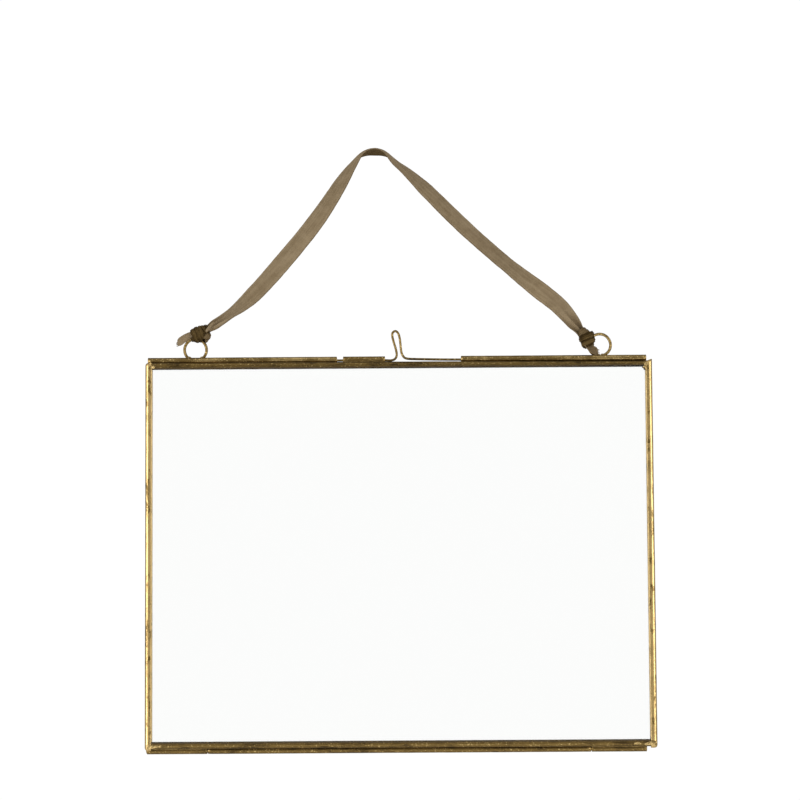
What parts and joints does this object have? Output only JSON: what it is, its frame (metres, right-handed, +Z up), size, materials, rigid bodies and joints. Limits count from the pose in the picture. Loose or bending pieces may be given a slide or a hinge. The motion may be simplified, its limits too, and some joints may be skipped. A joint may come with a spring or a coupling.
{
  "type": "floating frame",
  "caption": "Landscape hanging frame: hinged glass leaves in slim antique brass channel, shut by a sliding looped wire pin and hung by a knotted ribbon.",
  "frame": {"origin": "under the bight of the ribbon, where the nail bears", "axes": "+X along the frame to its right, -Y out of the front pane, +Z up"},
  "size_m": [0.2085, 0.0088, 0.2489],
  "materials": {
    "brass": "antique, worn",
    "brass_wire": "antique, drawn wire",
    "solder": "patinated solder",
    "glass": "clear, polished",
    "ribbon": "taupe woven ribbon"
  },
  "bodies": {
    "rear_leaf": {"rear_top_rail": "brass", "rear_bottom_rail": "brass", "rear_left_rail": "brass", "rear_right_rail": "brass", "rear_corner_solder": "solder", "rear_glass": "glass", "left_top_tube": "brass", "right_top_tube": "brass", "top_tube_seams": "solder", "hinge_centre_barrel": "brass", "hinge_barrel_seam": "solder", "left_ring": "brass_wire", "right_ring": "brass_wire", "ring_solder": "solder", "ribbon": "ribbon", "left_knot": "ribbon", "right_knot": "ribbon", "left_tail": "ribbon", "right_tail": "ribbon"},
    "front_leaf": {"front_top_rail": "brass", "front_bottom_rail": "brass", "front_left_rail": "brass", "front_right_rail": "brass", "front_corner_solder": "solder", "front_glass": "glass", "latch_knuckle": "brass", "latch_knuckle_seam": "solder", "left_hinge_knuckle": "brass", "right_hinge_knuckle": "brass", "hinge_knuckle_seams": "solder", "hinge_pin": "brass_wire", "hinge_end_solder": "solder"},
    "latch_pin": {"latch_pin": "brass_wire"}
  },
  "joints": [
    {"name": "front_leaf_hinge", "type": "hinge", "parent": "rear_leaf", "child": "front_leaf", "pos_m": [0.0096, -0.0018, -0.24574], "axis": [1, 0, 0], "range_deg": [0, 180]},
    {"name": "latch_pin_slide", "type": "slide", "parent": "rear_leaf", "child": "latch_pin", "axis": [1, 0, 0], "range_m": [0, 0.0216]}
  ]
}
